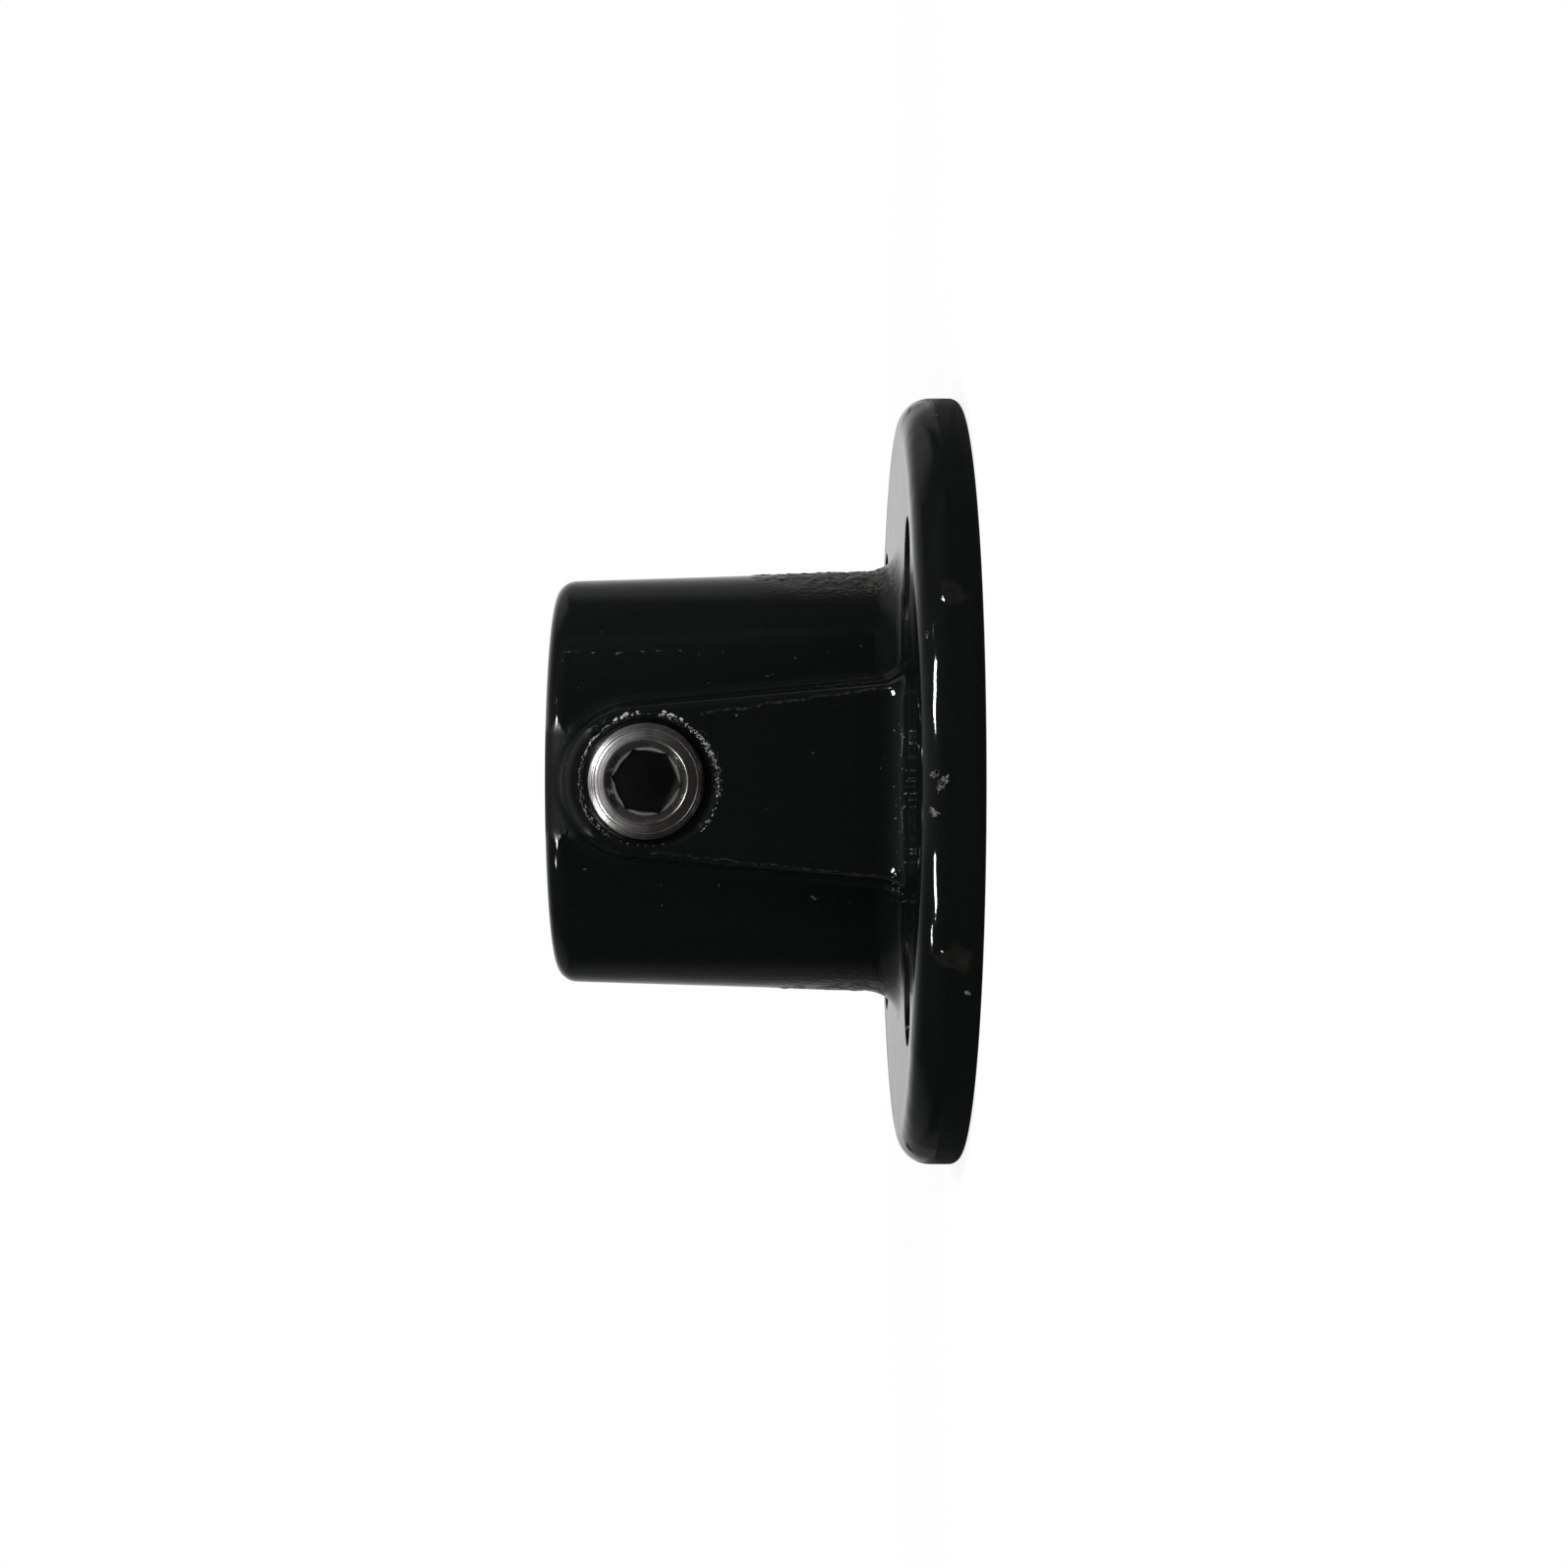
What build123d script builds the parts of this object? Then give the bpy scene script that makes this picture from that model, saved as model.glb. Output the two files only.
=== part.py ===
"""Base flange of a tube clamp system: a cast iron socket on a round plate, with one set screw.

The round plate stands on a floor or lies against a wall, and takes four countersunk screws.
A 48.3 mm tube stands in the socket, and the set screw in the side boss holds it there.
Millimetres. The origin is the middle of the plate's underside, +Z runs up the tube's axis,
and the set screw's key socket faces -Y.
"""

from build123d import *
from math import cos, radians, sin, tan
import os

# Tube and socket
TUBE_DIAMETER = 48.3
TUBE_CLEARANCE = 0.6  # between tube and bore, all round
SOCKET_WALL = 5.6  # at the mouth
SOCKET_DRAFT = 1.8  # degrees; the socket is thicker towards the plate
SOCKET_HEIGHT = 60.3  # from the floor to the mouth
MOUTH_OUTER_ROUND = 2.9
MOUTH_INNER_ROUND = 1.0
FOOT_INNER_ROUND = 1.0

# Round plate
PLATE_DIAMETER = 115.6
PLATE_THICKNESS = 9.0
PLATE_TOP_ROUND = 4.6
PLATE_FOOT_ROUND = 1.6
ROOT_FILLET = 4.5  # where socket and boss run into the plate

# Countersunk holes in the plate
HOLE_COUNT = 4
HOLE_CIRCLE_DIAMETER = 85.0
HOLE_DIAMETER = 9.0
HOLE_SINK_DIAMETER = 15.0
HOLE_SINK_ANGLE = 90.0
FIRST_HOLE_ANGLE = 45.0  # degrees, from +X

# Set screw with a G 3/8 thread, drawn plain at its crest
SCREW_DIAMETER = 16.2
SCREW_LENGTH = 11.0
SCREW_BELOW_MOUTH = 14.7  # from the socket's mouth down to the screw's axis
SCREW_SETBACK = 0.3  # how far its point stays behind the bore's wall
SCREW_END_CHAMFER = 0.45
SCREW_END_CROWN = 0.42  # drop of the domed end, from the key socket out to the chamfer
POINT_CHAMFER = 1.6
CUP_DIAMETER = 9.0
CUP_DEPTH = 1.6
KEY_FLATS = 8.4
KEY_DEPTH = 6.0
KEY_SINK_DIAMETER = 11.6
KEY_SINK_ANGLE = 110.0
KEY_TURN = 7.4  # degrees between a corner of the hexagon and the tube's axis
DRILL_POINT_ANGLE = 120.0  # at the bottom of the key socket

# Boss that carries the set screw
THREAD_CLEARANCE = 0.05  # between set screw and boss, all round
THREAD_SINK_WIDTH = 1.3
THREAD_SINK_ANGLE = 110.0
BOSS_SETBACK = 1.2  # how far the set screw's outer end stands out of the boss
BOSS_RIM = 2.1  # metal around the thread at the boss's round end
BOSS_BELOW_MOUTH = 2.8  # from the socket's mouth down to the boss's round end
BOSS_SPREAD = 5.0  # degrees; each flank leans outwards towards the plate
BOSS_FACE_SLOPE = 3.0  # degrees; the face leans outwards towards the plate
BOSS_FLANK_DRAFT = 10.0  # degrees
BOSS_EDGE_ROUND = 1.6
BOSS_BLEND = 3.0  # where the boss runs into the socket

OVERCUT = 1.0  # how far a cutting body reaches past the face that it opens

PLATE_RADIUS = PLATE_DIAMETER / 2
BORE_RADIUS = TUBE_DIAMETER / 2 + TUBE_CLEARANCE
MOUTH_RADIUS = BORE_RADIUS + SOCKET_WALL
ROOT_RADIUS = MOUTH_RADIUS + (SOCKET_HEIGHT - PLATE_THICKNESS) * tan(radians(SOCKET_DRAFT))
SCREW_RADIUS = SCREW_DIAMETER / 2
THREAD_RADIUS = SCREW_RADIUS + THREAD_CLEARANCE
SCREW_HEIGHT = SOCKET_HEIGHT - SCREW_BELOW_MOUTH
BOSS_END_RADIUS = THREAD_RADIUS + BOSS_RIM

# Distances out from the tube's axis, along the set screw
SCREW_POINT = BORE_RADIUS + SCREW_SETBACK
SCREW_END = SCREW_POINT + SCREW_LENGTH
BOSS_FACE = SCREW_END - BOSS_SETBACK

# On the set screw's axis, looking outwards: local X is +X, local Y is +Z
screw_plane = Plane(origin=(0, 0, SCREW_HEIGHT), x_dir=(1, 0, 0), z_dir=(0, -1, 0))


def cone_depth(wide_radius, narrow_radius, angle):
    """Height of a cone between two radii, from its full opening angle in degrees."""
    return (wide_radius - narrow_radius) / tan(radians(angle / 2))


def round_corners(section, *rounds):
    """Round corners of a flat section, each given as (corner, radius)."""
    for corner, radius in rounds:
        section = fillet(section.vertices().sort_by_distance(corner)[0], radius)
    return section


def socket_and_plate():
    """Turned form of socket and plate, with no hole in it and no fillet between them yet."""
    foot = (PLATE_RADIUS, 0)
    rim = (PLATE_RADIUS, PLATE_THICKNESS)
    root = (ROOT_RADIUS, PLATE_THICKNESS)
    mouth = (MOUTH_RADIUS, SOCKET_HEIGHT)
    outline = Polyline((0, 0), foot, rim, root, mouth, (0, SOCKET_HEIGHT), close=True)
    section = round_corners(
        make_face(outline),
        (foot, PLATE_FOOT_ROUND),
        (rim, PLATE_TOP_ROUND),
        (mouth, MOUTH_OUTER_ROUND),
    )
    return revolve(Plane.XZ * section, axis=Axis.Z)


def boss_block():
    """Drafted boss with a round end; it spreads, and its face leans out, towards the plate."""
    slope = radians(BOSS_FACE_SLOPE)
    spread = radians(BOSS_SPREAD)
    face_plane = Plane(
        origin=(0, -BOSS_FACE, SCREW_HEIGHT),
        x_dir=(1, 0, 0),
        z_dir=(0, -cos(slope), sin(slope)),
    )
    end_top_y = SCREW_BELOW_MOUTH - BOSS_BELOW_MOUTH
    flank_top_x = BOSS_END_RADIUS * cos(spread)
    flank_top_y = end_top_y - BOSS_END_RADIUS * (1 - sin(spread))
    foot_y = PLATE_THICKNESS / 2 - SCREW_HEIGHT
    foot_x = flank_top_x + (flank_top_y - foot_y) * tan(spread)
    outline = Curve() + [
        ThreePointArc((flank_top_x, flank_top_y), (0, end_top_y), (-flank_top_x, flank_top_y)),
        Polyline(
            (-flank_top_x, flank_top_y), (-foot_x, foot_y), (foot_x, foot_y), (flank_top_x, flank_top_y)
        ),
    ]
    into_bore = BOSS_FACE - BORE_RADIUS + OVERCUT
    block = extrude(face_plane * make_face(outline), amount=-into_bore, taper=-BOSS_FLANK_DRAFT)
    face = block.faces().sort_by(Axis.Y)[0]
    foot_edge = face.edges().sort_by(Axis.Z)[0]
    return fillet(face.edges() - [foot_edge], BOSS_EDGE_ROUND)


def join_boss(body, boss):
    """Join the boss to socket and plate, blend it into the socket, then fillet all that stands on the plate."""
    joined = body + boss
    seam = new_edges(body, boss, combined=joined)
    on_plate = seam.group_by(Axis.Z)[0]
    blended = fillet(seam - on_plate, BOSS_BLEND)
    plate_top = blended.faces().sort_by(lambda face: abs(face.center().Z - PLATE_THICKNESS))[0]
    return fillet(plate_top.inner_wires()[0].edges(), ROOT_FILLET)


def thread_hole():
    """Cutting body of the tapped hole: thread crest to bore, and the sink at its mouth."""
    hole = screw_plane * extrude(Circle(THREAD_RADIUS), amount=BOSS_FACE + OVERCUT)
    sink_radius = THREAD_RADIUS + THREAD_SINK_WIDTH
    # the cone keeps opening beyond the boss's face, because that face is sloped
    slope_rise = (sink_radius + OVERCUT) * tan(radians(BOSS_FACE_SLOPE)) + OVERCUT
    sink_slope = tan(radians(THREAD_SINK_ANGLE / 2))
    sink = Cone(
        bottom_radius=THREAD_RADIUS,
        top_radius=sink_radius + slope_rise * sink_slope,
        height=cone_depth(sink_radius, THREAD_RADIUS, THREAD_SINK_ANGLE) + slope_rise,
        align=(Align.CENTER, Align.CENTER, Align.MIN),
    )
    sink_start = BOSS_FACE - cone_depth(sink_radius, THREAD_RADIUS, THREAD_SINK_ANGLE)
    return hole + screw_plane * Pos(0, 0, sink_start) * sink


def plate_hole():
    """Cutting body of one countersunk hole; the sink is clear above the plate, for the head."""
    hole_radius = HOLE_DIAMETER / 2
    sink_radius = HOLE_SINK_DIAMETER / 2
    sink_bottom = PLATE_THICKNESS - cone_depth(sink_radius, hole_radius, HOLE_SINK_ANGLE)
    head_room = PLATE_THICKNESS + ROOT_FILLET + OVERCUT
    section = make_face(
        Polyline(
            (0, -OVERCUT),
            (hole_radius, -OVERCUT),
            (hole_radius, sink_bottom),
            (sink_radius, PLATE_THICKNESS),
            (sink_radius, head_room),
            (0, head_room),
            close=True,
        )
    )
    return revolve(Plane.XZ * section, axis=Axis.Z)


def flange_casting():
    """The one casting: plate, socket and boss, with its bore and holes."""
    body = join_boss(socket_and_plate(), boss_block())
    body -= Pos(0, 0, SOCKET_HEIGHT / 2) * Cylinder(BORE_RADIUS, SOCKET_HEIGHT + 2 * OVERCUT)
    for end, edge_round in ((-1, MOUTH_INNER_ROUND), (0, FOOT_INNER_ROUND)):
        end_circles = body.edges().filter_by(GeomType.CIRCLE).group_by(Axis.Z)[end]
        body = fillet(end_circles.sort_by(SortBy.RADIUS)[0], edge_round)
    body -= thread_hole()
    hole_places = PolarLocations(HOLE_CIRCLE_DIAMETER / 2, HOLE_COUNT, start_angle=FIRST_HOLE_ANGLE)
    return body - hole_places * plate_hole()


def key_socket():
    """Cutting body of the hexagon socket, measured down from the screw's end at local Z = 0."""
    flats_radius = KEY_FLATS / 2
    corner_radius = flats_radius / cos(radians(30))
    hexagon = Rot(0, 0, 90 - KEY_TURN) * RegularPolygon(corner_radius, 6)
    drill_point = cone_depth(flats_radius, 0, DRILL_POINT_ANGLE)
    drill = Cone(
        bottom_radius=0,
        top_radius=flats_radius,
        height=drill_point,
        align=(Align.CENTER, Align.CENTER, Align.MAX),
    )
    # the sink's cone goes on past the screw's end, up to its own overcut
    sink_radius = KEY_SINK_DIAMETER / 2
    sink_depth = cone_depth(sink_radius, 0, KEY_SINK_ANGLE)
    sink = Cone(
        bottom_radius=0,
        top_radius=sink_radius * (1 + OVERCUT / sink_depth),
        height=sink_depth + OVERCUT,
        align=(Align.CENTER, Align.CENTER, Align.MIN),
    )
    return extrude(hexagon, amount=-KEY_DEPTH) + Pos(0, 0, -KEY_DEPTH) * drill + Pos(0, 0, -sink_depth) * sink


def set_screw():
    """Turned set screw with a cup point, its domed end and key socket facing out of the boss."""
    cup_radius = CUP_DIAMETER / 2
    crown_start = (KEY_SINK_DIAMETER / 2, SCREW_END)
    crown_end = (SCREW_RADIUS - SCREW_END_CHAMFER, SCREW_END - SCREW_END_CROWN)
    outline = Curve() + [
        TangentArc(crown_start, crown_end, tangent=(1, 0)),
        Polyline(
            crown_end,
            (SCREW_RADIUS, SCREW_END - SCREW_END_CROWN - SCREW_END_CHAMFER),
            (SCREW_RADIUS, SCREW_POINT + POINT_CHAMFER),
            (SCREW_RADIUS - POINT_CHAMFER, SCREW_POINT),
            (cup_radius, SCREW_POINT),
            (0, SCREW_POINT + CUP_DEPTH),
            (0, SCREW_END),
            crown_start,
        ),
    ]
    blank = revolve(Plane.XZ * make_face(outline), axis=Axis.Z)
    return screw_plane * (blank - Pos(0, 0, SCREW_END) * key_socket())


parts = {
    "flange_casting": flange_casting(),
    "set_screw": set_screw(),
}

os.makedirs("parts", exist_ok=True)
for name, solid in parts.items():
    export_step(solid, f"parts/{name}.step")
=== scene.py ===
"""Looks for a tube clamp base flange: gloss black paint over a sand casting, and a bright turned set screw.

Metres. The casting stands on the floor at z = 0, its socket opens upwards (+Z), and the set screw faces -Y.
The camera lies on its side, so that the socket points to the left of the picture.
"""

import math
import random

import bmesh
import bpy
from mathutils import Matrix, Vector, noise
from mathutils.bvhtree import BVHTree


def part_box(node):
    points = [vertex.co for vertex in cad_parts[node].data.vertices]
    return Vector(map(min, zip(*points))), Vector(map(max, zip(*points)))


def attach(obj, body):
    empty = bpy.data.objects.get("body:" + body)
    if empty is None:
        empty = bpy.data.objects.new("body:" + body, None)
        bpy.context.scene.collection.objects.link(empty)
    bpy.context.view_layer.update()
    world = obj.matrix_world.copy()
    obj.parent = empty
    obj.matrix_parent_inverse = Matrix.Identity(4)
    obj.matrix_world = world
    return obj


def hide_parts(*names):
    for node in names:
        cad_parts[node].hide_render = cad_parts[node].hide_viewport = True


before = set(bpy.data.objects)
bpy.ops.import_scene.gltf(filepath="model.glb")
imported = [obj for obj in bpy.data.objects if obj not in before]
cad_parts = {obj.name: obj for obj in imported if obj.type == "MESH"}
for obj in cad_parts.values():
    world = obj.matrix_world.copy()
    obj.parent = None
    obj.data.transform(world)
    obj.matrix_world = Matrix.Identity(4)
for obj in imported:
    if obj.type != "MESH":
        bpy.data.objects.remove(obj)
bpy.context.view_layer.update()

MM = 0.001
CASTING_LOW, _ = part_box("flange_casting")
SCREW_LOW, SCREW_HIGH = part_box("set_screw")
SCREW_Z = (SCREW_LOW.z + SCREW_HIGH.z) / 2
SCREW_RADIUS = (SCREW_HIGH.z - SCREW_LOW.z) / 2
SCREW_END = -SCREW_LOW.y  # distances out from the tube's axis, along the set screw
SCREW_POINT = -SCREW_HIGH.y

# Set screw
THREAD_PITCH = 1.337 * MM
THREAD_DEPTH = 0.86 * MM
THREAD_ROWS = 110
THREAD_START = 0.04 * MM  # from the point to the first row
THREAD_STOP = 0.2 * MM  # how far short of the end's chamfer the thread stops
THREAD_RUN_OUT = 0.7 * MM  # over which it gets shallower before that
TAPPED_RADIUS = SCREW_RADIUS + 0.05 * MM  # of the hole in the boss
POINT_CHAMFER = 1.6 * MM
CUP_RADIUS = 4.5 * MM
CUP_DEPTH = 1.6 * MM
CUP_SHARES = (0.02, 0.4, 0.8, 0.97)  # rows of the cup, as shares of its radius
POINT_RING = (CUP_RADIUS + 0.1 * MM, SCREW_RADIUS - POINT_CHAMFER - 0.05 * MM)  # flat, round the cup
END_CHAMFER = 0.45 * MM
END_CROWN = 0.46 * MM  # drop of the domed end, from the key socket's sink out to the chamfer
CROWN_BEND = 1.15  # 1 is a cone, and more is a dome
CROWN_SHARES = (
    1.0, 0.985, 0.97, 0.955, 0.93, 0.86, 0.80, 0.76, 0.74, 0.72, 0.68, 0.58, 0.46, 0.34, 0.24, 0.16
)  # rows of the dome, as shares of its width
LATHE_GROOVES = {0.97: 0.04, 0.955: 0.06, 0.93: 0.02, 0.76: 0.02, 0.74: 0.05, 0.72: 0.02}  # depths in mm
KEY_SINK_RADIUS = 5.8 * MM
KEY_SINK_HALF_ANGLE = math.radians(46)
KEY_SINK_ROLL = 0.38 * MM  # radius of its rolled edge
KEY_SINK_SHARES = (0.12, 0.4, 0.7, 1.0)
KEY_LIP_WIDTH = 0.1 * MM  # small chamfer between the sink and the hexagon's wall
KEY_LIP_DEPTH = 0.12 * MM
KEY_FLATS_RADIUS = 4.2 * MM
KEY_DEPTH = 6.0 * MM
KEY_WALL_SHARES = (0.0, 0.03, 0.3, 0.7, 1.0)
KEY_CORNER_ANGLE = math.radians(82.6)
DRILL_HALF_ANGLE = math.radians(60)
DRILL_SHARES = (1.0, 0.5, 0.02)


# ---------------------------------------------------------------- node helpers

def new_material(name):
    """An empty node material, its node tree and its output."""
    material = bpy.data.materials.new(name)
    material.use_nodes = True
    tree = material.node_tree
    tree.nodes.clear()
    return material, tree, tree.nodes.new("ShaderNodeOutputMaterial")


def new_group(name, inputs, outputs):
    """An empty shader node group with named sockets, given as (name, kind), with its entry and result."""
    tree = bpy.data.node_groups.new(name, "ShaderNodeTree")
    for way, sockets in (("INPUT", inputs), ("OUTPUT", outputs)):
        for socket, kind in sockets:
            tree.interface.new_socket(socket, in_out=way, socket_type=f"NodeSocket{kind}")
    return tree, tree.nodes.new("NodeGroupInput"), tree.nodes.new("NodeGroupOutput")


def add(tree, kind, **settings):
    """A node of a tree, with properties set by name and input values by socket name."""
    node = tree.nodes.new(kind)
    inputs = settings.pop("inputs", {})
    for key, value in settings.items():
        setattr(node, key, value)
    for key, value in inputs.items():
        if isinstance(value, bpy.types.NodeSocket):
            tree.links.new(value, node.inputs[key])
        else:
            node.inputs[key].default_value = value
    return node


def math_node(tree, operation, *values):
    """The result of a Math node."""
    return add(tree, "ShaderNodeMath", operation=operation, inputs=dict(enumerate(values))).outputs[0]


def product(tree, value, *factors):
    """Several values multiplied."""
    for factor in factors:
        value = math_node(tree, "MULTIPLY", value, factor)
    return value


def scale_add(tree, value, factor, added):
    """A value times a factor, plus another."""
    return math_node(tree, "MULTIPLY_ADD", value, factor, added)


def coordinates(tree, place):
    """Outputs X, Y and Z of a place."""
    return add(tree, "ShaderNodeSeparateXYZ", inputs={0: place}).outputs


def place_group(tree, group, **inputs):
    """A node that holds a group, with its inputs set by name."""
    return add(tree, "ShaderNodeGroup", node_tree=group, inputs=inputs)


def object_place(tree):
    """Place on the part, in metres from the frame's origin."""
    return add(tree, "ShaderNodeTexCoord").outputs["Object"]


def step_mask(tree, value, start, end):
    """0 before start and 1 after end, smooth between; start may lie above end."""
    low, high = min(start, end), max(start, end)
    tones = (0.0, 1.0) if start < end else (1.0, 0.0)
    node = add(
        tree,
        "ShaderNodeMapRange",
        interpolation_type="SMOOTHSTEP",
        inputs={"Value": value, "From Min": low, "From Max": high, "To Min": tones[0], "To Max": tones[1]},
    )
    return node.outputs[0]


def noise_tone(tree, place, size, detail=2.0, roughness=0.5):
    """Noise from 0 to 1, with grains of about a size."""
    node = add(
        tree,
        "ShaderNodeTexNoise",
        inputs={"Vector": place, "Scale": 1 / size, "Detail": detail, "Roughness": roughness},
    )
    return node.outputs["Fac"]


def ramp(tree, value, stops):
    """A grey ramp through (position, tone) stops."""
    node = add(tree, "ShaderNodeValToRGB", inputs={"Fac": value})
    elements = node.color_ramp.elements
    while len(elements) < len(stops):
        elements.new(0.5)
    for element, (position, tone) in zip(elements, stops):
        element.position = position
        element.color = (tone, tone, tone, 1)
    return node.outputs["Color"]


def colour_mix(tree, share, first, second):
    """One colour changing into another by a share from 0 to 1."""
    return add(tree, "ShaderNodeMix", data_type="RGBA", inputs={0: share, 6: first, 7: second}).outputs[2]


def bump(tree, height):
    """Normal for a height in metres."""
    return add(tree, "ShaderNodeBump", inputs={"Height": height, "Strength": 1.0, "Distance": 1.0}).outputs[0]


# ---------------------------------------------------------------- shared effects

def around_screw_group():
    """Distance from the set screw's axis, turn about it, and distance out from the tube's axis."""
    tree, entry, result = new_group(
        "around_screw",
        [("Place", "Vector")],
        [("Radius", "Float"), ("Turn", "Float"), ("Reach", "Float")],
    )
    parts = coordinates(tree, entry.outputs["Place"])
    up = math_node(tree, "SUBTRACT", parts["Z"], SCREW_Z)
    across = product(tree, parts["X"], parts["X"])
    tree.links.new(math_node(tree, "SQRT", scale_add(tree, up, up, across)), result.inputs["Radius"])
    angle = math_node(tree, "ARCTAN2", up, parts["X"])
    tree.links.new(math_node(tree, "DIVIDE", angle, 2 * math.pi), result.inputs["Turn"])
    tree.links.new(product(tree, parts["Y"], -1.0), result.inputs["Reach"])
    return tree


PEEL_GRAIN, PEEL_HEIGHT = 1.9 * MM, 0.012 * MM
STREAK_GRAIN, STREAK_HEIGHT = 1.5 * MM, 0.016 * MM
STREAK_STRETCH = (1, 1, 0.12)  # draws the grain out along the tube's axis
SAG_GRAIN = 9 * MM


def paint_skin_group():
    """Height of the paint's own surface: orange peel and brush streaks over slow runs and sags."""
    tree, entry, result = new_group(
        "paint_skin", [("Place", "Vector"), ("Sag", "Float")], [("Height", "Float")]
    )
    place = entry.outputs["Place"]
    peel = product(tree, noise_tone(tree, place, PEEL_GRAIN, 1.0), PEEL_HEIGHT)
    drawn_out = add(tree, "ShaderNodeVectorMath", operation="MULTIPLY", inputs={0: place, 1: STREAK_STRETCH})
    streaks = product(tree, noise_tone(tree, drawn_out.outputs[0], STREAK_GRAIN, 2.0), STREAK_HEIGHT)
    sag = product(tree, noise_tone(tree, place, SAG_GRAIN, 1.0), entry.outputs["Sag"])
    total = math_node(tree, "ADD", math_node(tree, "ADD", peel, streaks), sag)
    tree.links.new(total, result.inputs["Height"])
    return tree


PATCH_RAGGEDNESS = 1.9  # in radii of the patch
PATCH_FADE = (1.85, 1.45)
PATCH_CELL = 1.7 * MM


def thin_patch(tree, place, centre, radius):
    """Mask of a ragged, faceted patch round a point of the casting."""
    ragged = product(tree, noise_tone(tree, place, 2.2 * MM, 3.0), PATCH_RAGGEDNESS * radius)
    away = add(tree, "ShaderNodeVectorMath", operation="DISTANCE", inputs={0: place, 1: centre})
    reach = math_node(tree, "ADD", away.outputs["Value"], ragged)
    spot = step_mask(tree, reach, PATCH_FADE[0] * radius, PATCH_FADE[1] * radius)
    cells = add(tree, "ShaderNodeTexVoronoi", inputs={"Vector": place, "Scale": 1 / PATCH_CELL})
    return product(tree, spot, scale_add(tree, cells.outputs["Distance"], 0.9, 0.25))


# ---------------------------------------------------------------- materials

BLACK = (0.0022, 0.0034, 0.0029, 1)
PRIMER_BROWN = (0.0132, 0.0102, 0.0082, 1)
SCUFF_GREY = (0.11, 0.11, 0.106, 1)
BARE_IRON = (0.36, 0.355, 0.34, 1)
TEAR_BLACK = (0.004, 0.0046, 0.0044, 1)
DULL_GREY = (0.115, 0.115, 0.11, 1)
DUST_GREY = (0.065, 0.066, 0.063, 1)
SEAM_GREY = (0.018, 0.0185, 0.017, 1)
SAND_BROWN = (0.034, 0.033, 0.028, 1)
# Bright and darker steel of the set screw: the split between them round its axis is a painted highlight and
# painted shade, broken up by random patches
CLEAN_AND_LIT_STEEL = (0.68, 0.675, 0.66, 1)
WORN_AND_SHADED_STEEL = (0.27, 0.263, 0.25, 1)
STRAW_STAIN = (0.26, 0.205, 0.155, 1)
SCORED_STEEL = (0.10, 0.095, 0.09, 1)
# Painted shade: near-black colour inside the key socket, where shade falls
PAINTED_SOCKET_SHADE = (0.0090, 0.0125, 0.0105, 1)

PAINT_IOR = 1.5
GLOSS, DULLNESS = 0.06, 0.52  # roughness of the gloss paint, and what dull paint adds
NOSE_METALLIC = 0.74  # takes the mirror out of the dull paint
THIN_SHARE, THIN_FLANK_SHARE = 0.7, 0.35  # how brown the thin patches are, and the flanks against them
DUST_SHARE = 0.05
TORN_ROUGHNESS, BARE_ROUGHNESS = 0.14, 0.34

# Noise: size of the grains, detail and roughness
SAND_GRAIN = (0.9 * MM, 3.0, 0.6)
DUST_GRAIN = (0.5 * MM, 3.0, 0.7)
CRUMB_GRAIN = (0.35 * MM, 2.0)
SMEAR_GRAIN = (1.6 * MM, 3.0, 0.6)
RING_GRAIN = (0.42 * MM, 3.0, 0.6)
LINE_GRAIN = (0.24 * MM, 1.0)

# Heights of bumps
PLAIN_SAG, RIM_SAG, TORN_SAG = 0.10 * MM, 0.28 * MM, 0.02 * MM
SAND_BUMP, THREAD_BUMP, CRUMB_BUMP, RING_BUMP = 0.32 * MM, 0.2 * MM, 0.07 * MM, 0.045 * MM

# Places on the casting, each from where a mask is 0 to where it is 1
RIM_OUT = (50 * MM, 53 * MM)  # from the tube's axis
SAND_HEIGHT = (34 * MM, 18 * MM)
PLATE_CLEARED = (8 * MM, 11 * MM)
FLANK_RIGHT = (25.5 * MM, 29 * MM)
FLANK_LEFT = (-26 * MM, -29.5 * MM)
FLANK_LEFT_SHARE = 0.4
HOLE_WALL = (TAPPED_RADIUS + 0.12 * MM, TAPPED_RADIUS + 0.04 * MM)  # from the set screw's axis
HOLE_REACH = (20 * MM, 21 * MM)
NOSE_ACROSS = (9.2 * MM, 6.2 * MM)
NOSE_HEIGHT = (52 * MM, 54.5 * MM)
NOSE_REACH = (24 * MM, 29 * MM)
FADE_ACROSS, FADE_HEIGHT = (23 * MM, 28.3 * MM), (33 * MM, 22 * MM)
THIN_PATCHES = (((25.0 * MM, -52.2 * MM, 4.2 * MM), 2.4 * MM), ((-23.8 * MM, -52.7 * MM, 4.0 * MM), 3.2 * MM))

# Places on the set screw, in the same way
END_FACE = (SCREW_END - 1.6 * MM, SCREW_END - 1.1 * MM)
CONE_WIDTH = (5.75 * MM, 5.55 * MM)  # from its axis
SOCKET_WIDTH = (5.3 * MM, 4.9 * MM)
SOCKET_INSIDE = (SCREW_END - 0.9 * MM, SCREW_END - 1.5 * MM)


def sandy_flanks(tree, place):
    """Mask of the sand grain on the socket's flanks, near the plate; stronger on the +X side."""
    parts = coordinates(tree, place)
    low = step_mask(tree, parts["Z"], *SAND_HEIGHT)
    low = product(tree, low, step_mask(tree, parts["Z"], *PLATE_CLEARED))
    right = step_mask(tree, parts["X"], *FLANK_RIGHT)
    left = product(tree, step_mask(tree, parts["X"], *FLANK_LEFT), FLANK_LEFT_SHARE)
    return product(tree, low, math_node(tree, "MAXIMUM", right, left))


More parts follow.
